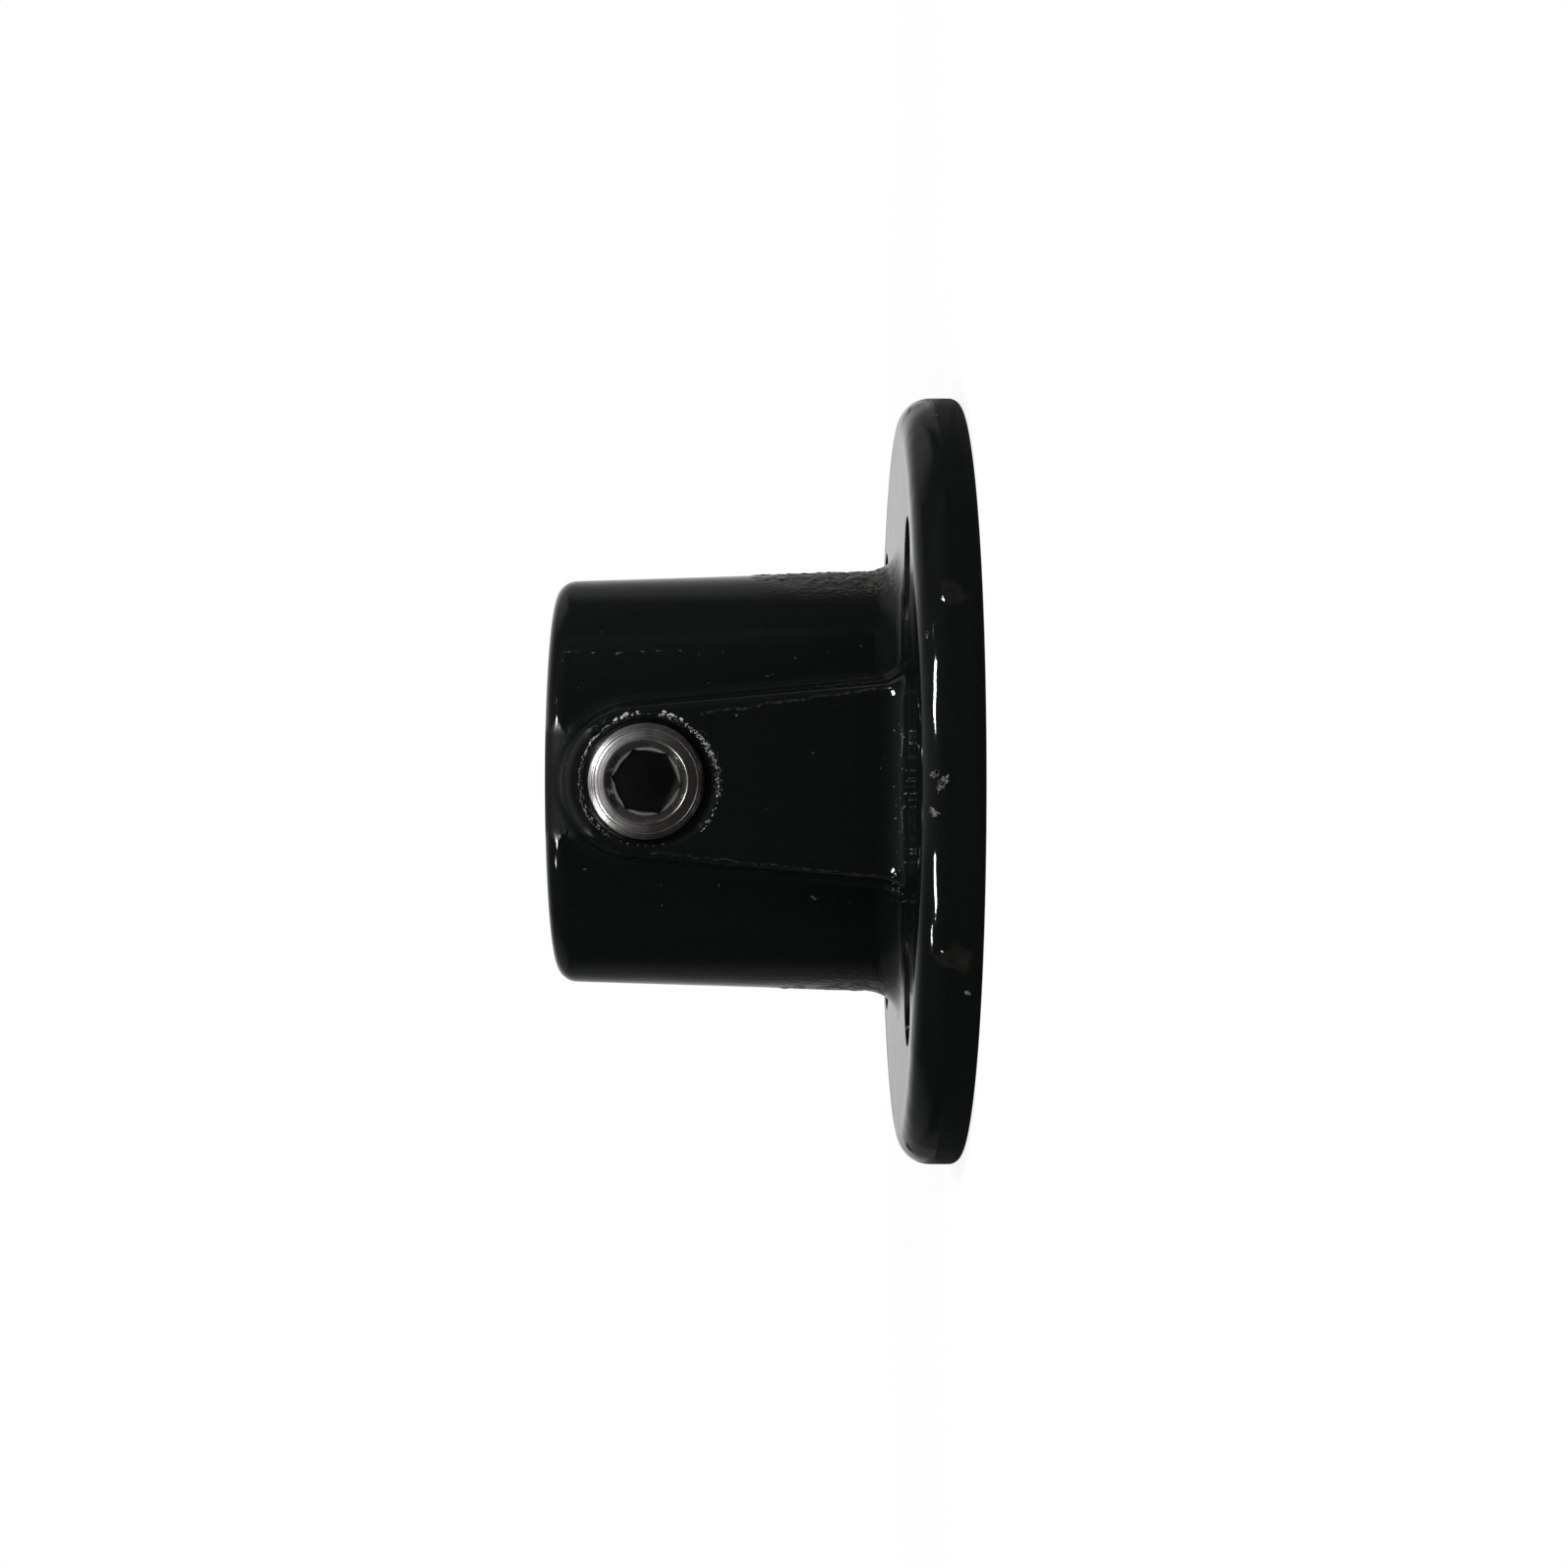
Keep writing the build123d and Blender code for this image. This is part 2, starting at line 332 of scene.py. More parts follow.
def hole_thread(tree, screw, in_hole):
    """Height of the turned thread of the tapped hole, where the set screw leaves it free."""
    turns = math_node(tree, "DIVIDE", screw["Reach"], THREAD_PITCH)
    phase = product(tree, math_node(tree, "SUBTRACT", turns, screw["Turn"]), 2 * math.pi)
    return product(tree, math_node(tree, "SINE", phase), THREAD_BUMP, in_hole)


def paint_colour(tree, place, flank):
    """Black, browned where the paint is thin over the primer, with a little dust in it."""
    patches = math_node(tree, "MAXIMUM", *(thin_patch(tree, place, *patch) for patch in THIN_PATCHES))
    thin = math_node(tree, "MAXIMUM", patches, product(tree, flank, THIN_FLANK_SHARE))
    browned = product(tree, thin, THIN_SHARE)
    dusty = product(tree, step_mask(tree, noise_tone(tree, place, *DUST_GRAIN), 0.56, 0.8), DUST_SHARE)
    return colour_mix(tree, dusty, colour_mix(tree, browned, BLACK, PRIMER_BROWN), SCUFF_GREY)


def dull_nose(tree, place, screw):
    """Mask of the thick, dull paint on the boss's nose, between the set screw and the socket's mouth."""
    parts = coordinates(tree, place)
    return product(
        tree,
        step_mask(tree, math_node(tree, "ABSOLUTE", parts["X"]), *NOSE_ACROSS),
        step_mask(tree, parts["Z"], *NOSE_HEIGHT),
        step_mask(tree, screw["Reach"], *NOSE_REACH),
    )


def paint_material(paint_skin, around_screw):
    """Gloss black paint: rough where the sand casting shows through, thin in patches on the rim."""
    material, tree, output = new_material("gloss_black_paint")
    place = object_place(tree)
    level = add(tree, "ShaderNodeVectorMath", operation="MULTIPLY", inputs={0: place, 1: (1, 1, 0)})
    from_axis = add(tree, "ShaderNodeVectorMath", operation="LENGTH", inputs={0: level.outputs[0]})
    on_rim = step_mask(tree, from_axis.outputs["Value"], *RIM_OUT)
    sag = scale_add(tree, on_rim, RIM_SAG - PLAIN_SAG, PLAIN_SAG)
    skin = place_group(tree, paint_skin, Place=place, Sag=sag).outputs["Height"]

    flank = sandy_flanks(tree, place)
    grain_height = product(tree, noise_tone(tree, place, *SAND_GRAIN), flank, SAND_BUMP)
    screw = place_group(tree, around_screw, Place=place).outputs
    in_hole = product(
        tree, step_mask(tree, screw["Radius"], *HOLE_WALL), step_mask(tree, screw["Reach"], *HOLE_REACH)
    )
    thread_height = hole_thread(tree, screw, in_hole)
    height = math_node(tree, "ADD", math_node(tree, "ADD", skin, grain_height), thread_height)
    nose = dull_nose(tree, place, screw)
    shader = add(
        tree,
        "ShaderNodeBsdfPrincipled",
        inputs={
            "Base Color": paint_colour(tree, place, flank),
            "Roughness": scale_add(tree, math_node(tree, "MAXIMUM", in_hole, nose), DULLNESS, GLOSS),
            "Metallic": product(tree, nose, NOSE_METALLIC),
            "IOR": PAINT_IOR,
            "Normal": bump(tree, height),
        },
    )
    tree.links.new(shader.outputs[0], output.inputs["Surface"])
    return material


def flank_fade(tree, place):
    """1 low on the socket's flanks, fading out towards its front, its back and its mouth."""
    parts = coordinates(tree, place)
    across = step_mask(tree, math_node(tree, "ABSOLUTE", parts["X"]), *FADE_ACROSS)
    return product(tree, across, step_mask(tree, parts["Z"], *FADE_HEIGHT))


def torn_paint_material(name, paint_skin, grain, first, last, bare_colour, fading):
    """Torn or scuffed black paint; another colour comes in between two levels of a noise."""
    material, tree, output = new_material(name)
    place = object_place(tree)
    bare = step_mask(tree, noise_tone(tree, place, grain, 2.0), first, last)
    if fading:
        bare = product(tree, bare, fading(tree, place))
    skin = place_group(tree, paint_skin, Place=place, Sag=TORN_SAG).outputs["Height"]
    crumbs = product(tree, noise_tone(tree, place, *CRUMB_GRAIN), CRUMB_BUMP)
    shader = add(
        tree,
        "ShaderNodeBsdfPrincipled",
        inputs={
            "Base Color": colour_mix(tree, bare, TEAR_BLACK, bare_colour),
            "Roughness": scale_add(tree, bare, BARE_ROUGHNESS - TORN_ROUGHNESS, TORN_ROUGHNESS),
            "IOR": PAINT_IOR,
            "Normal": bump(tree, math_node(tree, "ADD", skin, crumbs)),
        },
    )
    tree.links.new(shader.outputs[0], output.inputs["Surface"])
    return material


# Name, grain, levels of the noise between which the other colour comes in, that colour, and where it fades
TORN_FINISHES = (
    ("torn_paint", 0.45 * MM, 0.60, 0.66, SCUFF_GREY, None),
    ("bare_iron_flakes", 0.5 * MM, 0.34, 0.50, BARE_IRON, None),
    ("scuffed_paint", 0.6 * MM, 0.42, 0.58, DULL_GREY, None),
    ("dusty_paint", 0.6 * MM, 0.40, 0.66, DUST_GREY, None),
    ("seam_paint", 0.6 * MM, 0.40, 0.66, SEAM_GREY, None),
    ("paint_on_sand_casting", 0.9 * MM, 0.36, 0.62, SAND_BROWN, flank_fade),
)


def lathe_tone(tree, screw, lean, grain):
    """Noise that is the same all round the set screw, in rings of about a width."""
    along = product(tree, screw["Reach"], lean)
    place = add(tree, "ShaderNodeCombineXYZ", inputs={0: screw["Radius"], 1: along})
    return noise_tone(tree, place.outputs[0], *grain)


def steel_colour(tree, screw, smear, scored):
    """Bright steel towards the mouth and darker steel towards the plate, broken up by random patches: a
    painted highlight on the side turned to the lamps and painted shade on the other; with straw stains and
    dark scored lines.
    """
    stained = step_mask(tree, smear, 0.52, 0.72)
    worn_and_shaded = colour_mix(tree, stained, WORN_AND_SHADED_STEEL, STRAW_STAIN)
    # Painted highlight: the steel's colour is brighter on the side turned towards the mouth and the lamps,
    # darker towards the plate
    painted_highlight_side = math_node(tree, "COSINE", scale_add(tree, screw["Turn"], 2 * math.pi, -1.3))
    patchy_and_lit = scale_add(tree, smear, 0.9, painted_highlight_side)
    clean_and_lit = colour_mix(tree, step_mask(tree, patchy_and_lit, -0.7, 1.1), worn_and_shaded, CLEAN_AND_LIT_STEEL)
    return colour_mix(tree, scored, clean_and_lit, SCORED_STEEL)


def steel_material(around_screw):
    """Turned steel: rings from the lathe, straw-coloured stains, a painted highlight towards the mouth, and a
    key socket coloured near black as painted shade.
    """
    material, tree, output = new_material("turned_steel")
    place = object_place(tree)
    screw = place_group(tree, around_screw, Place=place).outputs
    on_end = step_mask(tree, screw["Reach"], *END_FACE)
    on_cone = step_mask(tree, screw["Radius"], *CONE_WIDTH)
    in_socket = step_mask(tree, screw["Radius"], *SOCKET_WIDTH)
    in_socket = product(tree, in_socket, step_mask(tree, screw["Reach"], *SOCKET_INSIDE))
    smear = noise_tone(tree, place, *SMEAR_GRAIN)
    rings = lathe_tone(tree, screw, 0.3, RING_GRAIN)
    lines = lathe_tone(tree, screw, 0.1, LINE_GRAIN)
    scored = product(tree, step_mask(tree, rings, 0.48, 0.34), product(tree, on_end, 0.45))
    rough = scale_add(tree, smear, 0.14, scale_add(tree, lines, 0.34, 0.06))
    rough = product(tree, rough, scale_add(tree, on_cone, -0.5, 1.0))
    # Inside the key socket the colour is painted shade, near black and not metal.
    shader = add(
        tree,
        "ShaderNodeBsdfPrincipled",
        inputs={
            "Base Color": colour_mix(tree, in_socket, steel_colour(tree, screw, smear, scored), PAINTED_SOCKET_SHADE),
            "Metallic": math_node(tree, "SUBTRACT", 1.0, in_socket),
            "Roughness": math_node(tree, "MAXIMUM", rough, product(tree, in_socket, 0.6)),
            "Normal": bump(tree, product(tree, rings, on_end, RING_BUMP)),
        },
    )
    tree.links.new(shader.outputs[0], output.inputs["Surface"])
    return material


# ---------------------------------------------------------------- mesh helpers

def mesh_object(name, vertices, faces, material=None, sharp_angle=None):
    """A smooth-shaded object; edges that turn by more than sharp_angle stay sharp."""
    mesh = bpy.data.meshes.new(name)
    mesh.from_pydata(vertices, [], faces)
    mesh.update()
    mesh.shade_smooth()
    if sharp_angle is not None:
        mesh.set_sharp_from_angle(angle=sharp_angle)
    piece = bpy.data.objects.new(name, mesh)
    bpy.context.scene.collection.objects.link(piece)
    if material:
        mesh.materials.append(material)
    return piece


def dress(piece, body):
    """Ride a new piece on a body."""
    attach(piece, body)
    return piece


def ring_faces(rows, columns, first=0):
    """Faces of a closed tube of rows, each with as many columns."""
    faces = []
    for row in range(rows - 1):
        for column in range(columns):
            beside = (column + 1) % columns
            a = first + row * columns
            b = a + columns
            faces.append((a + column, a + beside, b + beside, b + column))
    return faces


def grid_faces(rows, columns, first=0):
    """Faces of an open sheet of rows, each with as many columns."""
    faces = []
    for row in range(rows - 1):
        for column in range(columns - 1):
            a = first + row * columns + column
            faces.append((a, a + 1, a + columns + 1, a + columns))
    return faces


def smooth_step(value):
    """0 below 0 and 1 above 1, smooth between."""
    value = min(max(value, 0.0), 1.0)
    return value * value * (3 - 2 * value)


# ---------------------------------------------------------------- set screw

def hexagon_radius(angle):
    """Distance from the axis to the key socket's wall."""
    sector = (angle - KEY_CORNER_ANGLE) % math.radians(60)
    return KEY_FLATS_RADIUS / math.cos(sector - math.radians(30))


def thread_radius(angle, reach):
    """Radius of the right-hand thread, rounded at crest and root."""
    phase = 2 * math.pi * (reach / THREAD_PITCH) - angle
    return SCREW_RADIUS - THREAD_DEPTH * (0.5 - 0.5 * math.cos(phase))


def thread_outline(angle):
    """The point's chamfer and the thread, which runs out short of the end's chamfer."""
    start = SCREW_POINT + THREAD_START
    shoulder = SCREW_END - END_CROWN - END_CHAMFER
    points = []
    for row in range(THREAD_ROWS + 1):
        reach = start + (shoulder - start) * row / THREAD_ROWS
        chamfer = SCREW_RADIUS - max(0.0, SCREW_POINT + POINT_CHAMFER - reach)
        run_out = smooth_step((shoulder - THREAD_STOP - reach) / THREAD_RUN_OUT)
        thread = SCREW_RADIUS - run_out * (SCREW_RADIUS - thread_radius(angle, reach))
        points.append((min(chamfer, thread), reach))
    return points


def end_outline():
    """The domed end with its lathe grooves, then the rolled edge of the key socket's sink."""
    width = SCREW_RADIUS - END_CHAMFER - KEY_SINK_RADIUS
    points = []
    for share in CROWN_SHARES:
        drop = END_CROWN * share**CROWN_BEND + LATHE_GROOVES.get(share, 0.0) * MM
        points.append((KEY_SINK_RADIUS + width * share, SCREW_END - drop))
    cone_tilt = math.pi / 2 - KEY_SINK_HALF_ANGLE
    roll_centre = KEY_SINK_RADIUS + KEY_SINK_ROLL * math.tan(cone_tilt / 2)
    steps = 8
    for step in range(steps + 1):
        tilt = cone_tilt * step / steps
        radius = roll_centre - KEY_SINK_ROLL * math.sin(tilt)
        points.append((radius, SCREW_END - KEY_SINK_ROLL * (1 - math.cos(tilt))))
    return points


def key_socket_outline(angle, roll_end):
    """The sink's cone in from its rolled edge, the hexagon's wall, and the cone that the drill left."""
    wall = hexagon_radius(angle)
    points = []
    for share in KEY_SINK_SHARES:
        radius = roll_end + (wall + KEY_LIP_WIDTH - roll_end) * share
        points.append((radius, SCREW_END - (KEY_SINK_RADIUS - radius) / math.tan(KEY_SINK_HALF_ANGLE)))
    wall_top = points[-1][1] - KEY_LIP_DEPTH
    wall_bottom = SCREW_END - KEY_DEPTH
    points += [(wall, wall_top + (wall_bottom - wall_top) * share) for share in KEY_WALL_SHARES]
    for share in DRILL_SHARES:
        radius = KEY_FLATS_RADIUS * share
        points.append((radius, wall_bottom - (KEY_FLATS_RADIUS - radius) / math.tan(DRILL_HALF_ANGLE)))
    return points


def screw_outline(angle):
    """Points (radius, reach) of the set screw at one angle, from the cup to the key socket's bottom."""
    cup = [(CUP_RADIUS * share, SCREW_POINT + CUP_DEPTH * (1 - share)) for share in CUP_SHARES]
    ring = [(radius, SCREW_POINT) for radius in POINT_RING]
    outside = cup + ring + thread_outline(angle) + end_outline()
    return outside + key_socket_outline(angle, outside[-1][0])


def make_set_screw(material):
    """The set screw with its cut thread, domed end and hexagon socket."""
    columns = 192
    angles = [KEY_CORNER_ANGLE + 2 * math.pi * column / columns for column in range(columns)]
    outlines = [screw_outline(angle) for angle in angles]
    rows = len(outlines[0])
    vertices = []
    for row in range(rows):
        for angle, outline in zip(angles, outlines):
            radius, reach = outline[row]
            vertices.append((radius * math.cos(angle), -reach, SCREW_Z + radius * math.sin(angle)))
    faces = ring_faces(rows, columns)
    faces.append(tuple(reversed(range(columns))))
    faces.append(tuple(range((rows - 1) * columns, rows * columns)))
    screw = mesh_object("set_screw_turned", vertices, faces, material, math.radians(38))
    dress(screw, "screw")
    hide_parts("set_screw")


# ---------------------------------------------------------------- paint on the casting

RAY_START = 100 * MM  # distances out from the tube's axis, past the plate's rim
FRONT_START = 60 * MM


class CastingSkin:
    """The casting's surface, to lay paint details on."""

    def __init__(self, node):
        mesh = node.data
        faces = [tuple(face.vertices) for face in mesh.polygons]
        self.tree = BVHTree.FromPolygons([vertex.co for vertex in mesh.vertices], faces)

    def inwards(self, start, way):
        """First point and outward normal on a ray."""
        point, normal, _, _ = self.tree.ray_cast(Vector(start), Vector(way).normalized())
        if point is not None and normal.dot(Vector(way)) > 0:
            normal = -normal
        return point, normal

    def at(self, azimuth, height):
        """Point and normal at an azimuth from the set screw's side towards +X, and a height in mm."""
        turn = math.radians(azimuth)
        outwards = Vector((math.sin(turn), -math.cos(turn), 0))
        return self.inwards(outwards * RAY_START + Vector((0, 0, height * MM)), -outwards)

    def from_front(self, x, z):
        """Point and normal under a place in front of the set screw's side."""
        return self.inwards((x, -FRONT_START, z), (0, 1, 0))


def raised(window, lift, sunk):
    """Height over the paint: a lift where the window is 1, and sunk out of sight where it is 0; in mm."""
    return window * lift - sunk * (1 - window)


def local_axes(normal, turn):
    """Two directions along a surface, the first turned by degrees from level."""
    level = Vector((0, 0, 1)).cross(normal).normalized()
    rise = normal.cross(level)
    angle = math.radians(turn)
    return (
        level * math.cos(angle) + rise * math.sin(angle),
        rise * math.cos(angle) - level * math.sin(angle),
    )


def lump_patch(skin, name, azimuth, height, length, width, turn, rise, swirl, material):
    """A raised lump of paint, its outline and top broken by noise; sizes in mm."""
    steps = 40
    point, normal = skin.at(azimuth, height)
    along, across = local_axes(normal, turn)
    vertices = []
    for row in range(steps + 1):
        for column in range(steps + 1):
            s = 2 * column / steps - 1
            t = 2 * row / steps - 1
            start = point + along * (s * length / 2 * MM) + across * (t * width / 2 * MM) + normal * (3 * MM)
            base, _ = skin.inwards(start, -normal)
            folds = noise.fractal(Vector((s, t, azimuth)) * swirl, 1.0, 2.0, 3)
            edge = smooth_step(1.35 - math.hypot(s, t) * 1.35 + 0.5 * folds - 0.15)
            vertex = base + normal * (raised(edge, rise * (0.55 + 0.9 * abs(folds)), 0.04) * MM)
            vertex.y = max(vertex.y, CASTING_LOW.y)
            vertices.append(vertex)
    piece = mesh_object(name, vertices, grid_faces(steps + 1, steps + 1), material)
    return dress(piece, "casting")


def add_dome(vertices, faces, point, normal, length, width, rise, turn):
    """One smooth speck, sunk a little into the paint."""
    rings, spokes = 4, 10
    along, across = local_axes(normal, turn)
    first = len(vertices)
    for ring in range(rings):
        share = 1 - ring / rings
        lift = rise * math.sqrt(1 - share * share) - 0.35 * rise
        for spoke in range(spokes):
            angle = 2 * math.pi * spoke / spokes
            offset = along * (length / 2 * share * math.cos(angle))
            offset += across * (width / 2 * share * math.sin(angle))
            vertices.append(point + (offset + normal * lift) * MM)
    faces += ring_faces(rings, spokes, first)
    vertices.append(point + normal * (0.65 * rise * MM))
    top = len(vertices) - 1
    last = first + (rings - 1) * spokes
    faces += [(last + spoke, last + (spoke + 1) % spokes, top) for spoke in range(spokes)]


def speck_piece(skin, name, specks, material):
    """Specks in the paint, each (azimuth, height, length, width, rise, turn), in degrees and mm."""
    vertices, faces = [], []
    for azimuth, height, length, width, rise, turn in specks:
        point, normal = skin.at(azimuth, height)
        add_dome(vertices, faces, point, normal, length, width, rise, turn)
    return dress(mesh_object(name, vertices, faces, material), "casting")


def bell(angle, centre, width):
    """1 at an angle round the set screw, falling off over a width; all in degrees."""
    away = math.remainder(angle - centre, 360)
    return math.exp(-((away / width) ** 2))


def bells(angle, swells):
    """Several bells added up, each (height, centre, width)."""
    return sum(height * bell(angle, centre, width) for height, centre, width in swells)


# The torn paint round the set screw, by angle in degrees from +X towards the mouth; sizes in mm
TORN_RADIUS, TORN_RADIUS_SWELLS = 9.32, ((0.75, -90, 45), (0.5, -125, 25), (-0.45, 180, 30))
TORN_HALF_WIDTH, TORN_HALF_WIDTH_SWELLS = 0.20, ((0.5, -75, 30), (0.22, 12, 16), (0.15, -28, 14))
TORN_SHARES = ((0.85, 62, 58), (1.0, 15, 30), (1.0, -52, 50), (0.9, 118, 30))


def torn_span(angle):
    """Inner and outer radius of the torn paint."""
    middle = TORN_RADIUS + bells(angle, TORN_RADIUS_SWELLS)
    half = TORN_HALF_WIDTH + bells(angle, TORN_HALF_WIDTH_SWELLS)
    return middle - half, middle + half


def torn_share(angle):
    """How much of the paint is torn, from 0 to 1."""
    return min(1.0, bells(angle, TORN_SHARES))


def make_torn_ring(skin, material):
    """Torn edge of the paint round the set screw's sink."""
    columns, rows = 640, 13
    vertices = []
    for row in range(rows):
        across = row / (rows - 1)
        for column in range(columns):
            angle = 2 * math.pi * column / columns
            circle = Vector((math.cos(angle), 0, math.sin(angle)))
            ragged = noise.fractal(circle * 8, 1.0, 2.0, 4)
            wander = 0.12 * noise.noise(circle * 3.1)
            inner, outer = torn_span(math.degrees(angle))
            inner += 0.12 * ragged + wander
            outer += 0.28 * ragged + wander
            radius = (inner + (outer - inner) * across) * MM
            base, _ = skin.inwards(circle * radius + Vector((0, -FRONT_START, SCREW_Z)), (0, 1, 0))
            crumbs = abs(noise.fractal(Vector((base.x, base.z, 0)) / (0.6 * MM), 0.8, 2.1, 4))
            shown = smooth_step((torn_share(math.degrees(angle)) + 0.7 * ragged - 0.25) / 0.3)
            window = shown * math.sin(math.pi * across) ** 0.5
            vertices.append(base - Vector((0, raised(window, 0.02 + 0.24 * crumbs, 0.04) * MM, 0)))
    ring = mesh_object("torn_paint_ring", vertices, ring_faces(rows, columns), material)
    dress(ring, "casting")


def make_flakes(skin, chance, name, sectors, material):
    """Loose flakes and specks in the torn paint round the set screw."""
    vertices, faces = [], []
    for first, last, count, radius, spread, smallest, largest, slim in sectors:
        for _ in range(count):
            angle = math.radians(chance.uniform(first, last))
            out = (radius + chance.uniform(-spread, spread)) * MM
            point, normal = skin.from_front(math.cos(angle) * out, SCREW_Z + math.sin(angle) * out)
            size = chance.uniform(smallest, largest)
            turn = math.degrees(angle) + 90 + chance.uniform(-35, 35) * slim
            width = size * chance.uniform(0.5, 1.1) * slim
            rise = 0.28 * width + 0.10 * size
            add_dome(vertices, faces, point - normal * 0.02 * MM, normal, size, width, rise, turn)
    dress(mesh_object(name, vertices, faces, material), "casting")


def rough_patch(skin, name, turns, heights, grain, rise, material):
    """Rough sand casting under the paint: a sheet over a span of azimuths and of heights."""
    columns, rows = 170, 110
    vertices = []
    for row in range(rows):
        t = row / (rows - 1)
        for column in range(columns):
            s = column / (columns - 1)
            azimuth = turns[0] + (turns[1] - turns[0]) * s
            height = heights[0] + (heights[1] - heights[0]) * t
            base, normal = skin.at(azimuth, height)
            spot = Vector((math.radians(azimuth) * 31 / grain, height / (0.75 * grain), 0))
            folds = noise.fractal(spot, 0.9, 2.1, 4)
            arch = (1 - math.hypot(2 * s - 1, t)) / 0.25 + 0.8 * noise.noise(spot * 0.4)
            fade = smooth_step(arch) * smooth_step(min(s, 1 - s, t, 1 - t) / 0.06)
            vertices.append(base + normal * (raised(fade, (folds + 0.45) * rise, 0.05) * MM))
    piece = mesh_object(name, vertices, grid_faces(rows, columns), material)
    dress(piece, "casting")


def make_seam(skin, name, start, end, width, rise, material):
    """Wavy seam between two places, each (across, height) in mm as seen from the set screw's side."""
    rows, columns = 260, 9
    way = Vector((end[0] - start[0], end[1] - start[1])).normalized()
    vertices = []
    for row in range(rows):
        share = row / (rows - 1)
        middle_x = start[0] + (end[0] - start[0]) * share
        middle_z = start[1] + (end[1] - start[1]) * share
        wander = 0.30 * noise.fractal(Vector((middle_z / 2.2, start[0], 0)), 1.0, 2.0, 3)
        for column in range(columns):
            across = 2 * column / (columns - 1) - 1
            off = wander + across * width / 2
            x, z = middle_x + way.y * off, middle_z - way.x * off
            base, normal = skin.from_front(x * MM, z * MM)
            folds = noise.fractal(Vector((x / 0.35, z / 1.1, 0)), 1.0, 2.0, 3)
            window = 1 - across * across
            vertices.append(base + normal * (raised(window, rise * (0.35 + 1.3 * abs(folds)), 0.03) * MM))
    dress(mesh_object(name, vertices, grid_faces(rows, columns), material), "casting")


# Paint details, in degrees and mm; azimuths run from the set screw's side towards +X.
# Flakes: from and to angle round the set screw, how many, radius, spread, smallest, largest and slimness
BRIGHT_FLAKES = (
    (34, 96, 24, 9.38, 0.09, 0.35, 0.95, 0.27),
    (30, 92, 16, 9.30, 0.24, 0.12, 0.28, 0.8),
    (6, 28, 12, 9.62, 0.28, 0.40, 1.10, 0.55),
    (-34, -12, 8, 9.85, 0.30, 0.30, 0.80, 0.6),
    (96, 150, 16, 9.20, 0.24, 0.14, 0.40, 0.6),
    (-136, -106, 11, 10.40, 0.06, 0.14, 0.30, 0.8),
    (154, 200, 9, 8.95, 0.14, 0.14, 0.34, 0.6),
)
DULL_FLAKES = (
    (92, 146, 34, 9.25, 0.34, 0.20, 0.60, 0.5),
    (-100, -36, 120, 9.95, 0.90, 0.10, 0.26, 0.8),
    (-36, 26, 22, 9.30, 0.40, 0.16, 0.50, 0.6),
    (28, 50, 16, 10.3, 0.35, 0.20, 0.60, 0.5),
)

# Sheets of rough casting: name, span of azimuths and of heights, grain and rise
ROUGH_PATCHES = (
    ("rough_casting_right", (58, 122), (10.3, 34), 1.9, 0.20),
    ("rough_casting_left", (-120, -68), (10.3, 30), 2.4, 0.10),
)

# Seams: name, start and end as (across, height), width and rise
SEAMS = (
    ("boss_seam_right", (9.4, 38), (13.2, 11.6), 0.45, 0.07),
    ("boss_foot_seam_right", (13.2, 22), (14.3, 11.4), 0.45, 0.10),
    ("boss_seam_left", (-9.9, 45), (-13.4, 11.2), 0.3, 0.05),
)

# Lumps: name, azimuth, height, length, width, turn, rise, swirl and finish
LUMPS = (
    ("rim_lump_upper_head", 1.0, 6.9, 1.7, 1.3, 100, 0.42, 2.9, "scuffed_paint"),
    ("rim_lump_upper_tail", -0.2, 5.9, 3.1, 1.4, -35, 0.36, 3.1, "scuffed_paint"),
    ("rim_lump_lower", -4.1, 7.0, 2.0, 1.4, 60, 0.34, 2.8, "scuffed_paint"),
    ("rim_scab_right", 25.4, 4.4, 4.6, 3.2, 20, 0.13, 1.6, "gloss_black_paint"),
    ("rim_scab_left", -24.3, 4.2, 5.6, 3.6, 80, 0.13, 1.5, "gloss_black_paint"),
    ("rim_fold_right", 20.2, 7.7, 2.4, 0.9, 4, 0.10, 1.6, "gloss_black_paint"),
    ("mouth_bead_right", 13.6, 57.7, 5.0, 2.6, 0, 0.15, 0.7, "gloss_black_paint"),
    ("mouth_bead_left", -13.9, 57.7, 4.6, 2.4, 0, 0.15, 0.7, "gloss_black_paint"),
    ("rim_nick_left", -29.2, 2.1, 1.3, 0.8, 50, 0.20, 2.2, "scuffed_paint"),
    ("rim_nick_right", 65.0, 4.6, 1.8, 0.7, 160, 0.20, 1.8, "scuffed_paint"),
)
RIM_SAGS = (
    ("rim_sag_left", -73, 7.9, 5.5, 2.2, 10, 0.16, 1.6, "gloss_black_paint"),
    ("rim_sag_right", 76, 7.9, 5.0, 2.0, -10, 0.14, 1.6, "gloss_black_paint"),
)

